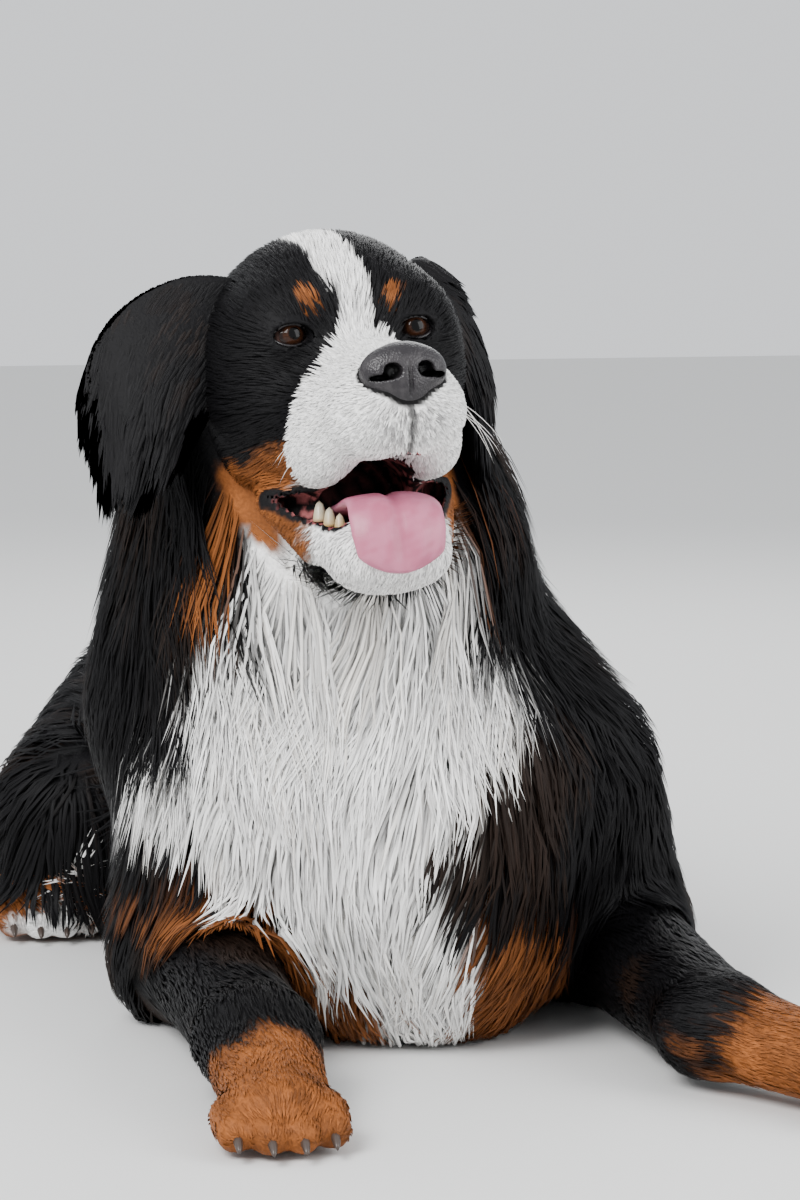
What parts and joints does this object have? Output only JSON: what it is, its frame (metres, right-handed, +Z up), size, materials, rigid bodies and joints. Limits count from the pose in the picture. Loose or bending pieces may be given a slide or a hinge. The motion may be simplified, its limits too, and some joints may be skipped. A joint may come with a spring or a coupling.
{
  "type": "bernese mountain dog",
  "caption": "Still, life-size long-coated dog that lies on its breast with its forelegs out, its head raised and its mouth open.",
  "frame": {"origin": "point of the breast's flat on the floor, under the front of the ribs", "axes": "+Z up, -Y where the dog's body faces, +X its left side"},
  "size_m": [0.5373, 1.3845, 0.5623],
  "materials": {
    "black_coat": "long, slightly wavy glossy hair",
    "white_coat": "long soft hair",
    "tan_coat": "short to long rust hair",
    "nose_leather": "fine pebbled, slightly moist",
    "eye": "moist, dark amber",
    "tongue": "moist, with a middle groove",
    "claw": "dark horn",
    "tooth": "ivory enamel",
    "lip": "dark moist skin with pink gum"
  },
  "bodies": {
    "root": {"nose": "nose_leather", "eye_right": "eye", "eye_left": "eye", "tongue": "tongue", "head": "black_coat", "lower_jaw": "white_coat", "ear_right": "black_coat", "ear_left": "black_coat", "neck": "black_coat", "front_paw_right": "tan_coat", "forearm_right": "black_coat", "front_paw_left": "tan_coat", "forearm_left": "black_coat", "chest": "white_coat", "upper_arm_right": "black_coat", "upper_arm_left": "black_coat", "barrel": "black_coat", "hind_foot_right": "tan_coat", "lower_leg_right": "black_coat", "thigh_right": "black_coat", "hind_foot_left": "tan_coat", "lower_leg_left": "black_coat", "thigh_left": "black_coat", "rump": "black_coat", "tail_base": "black_coat", "tail_tip": "white_coat"}
  },
  "joints": []
}
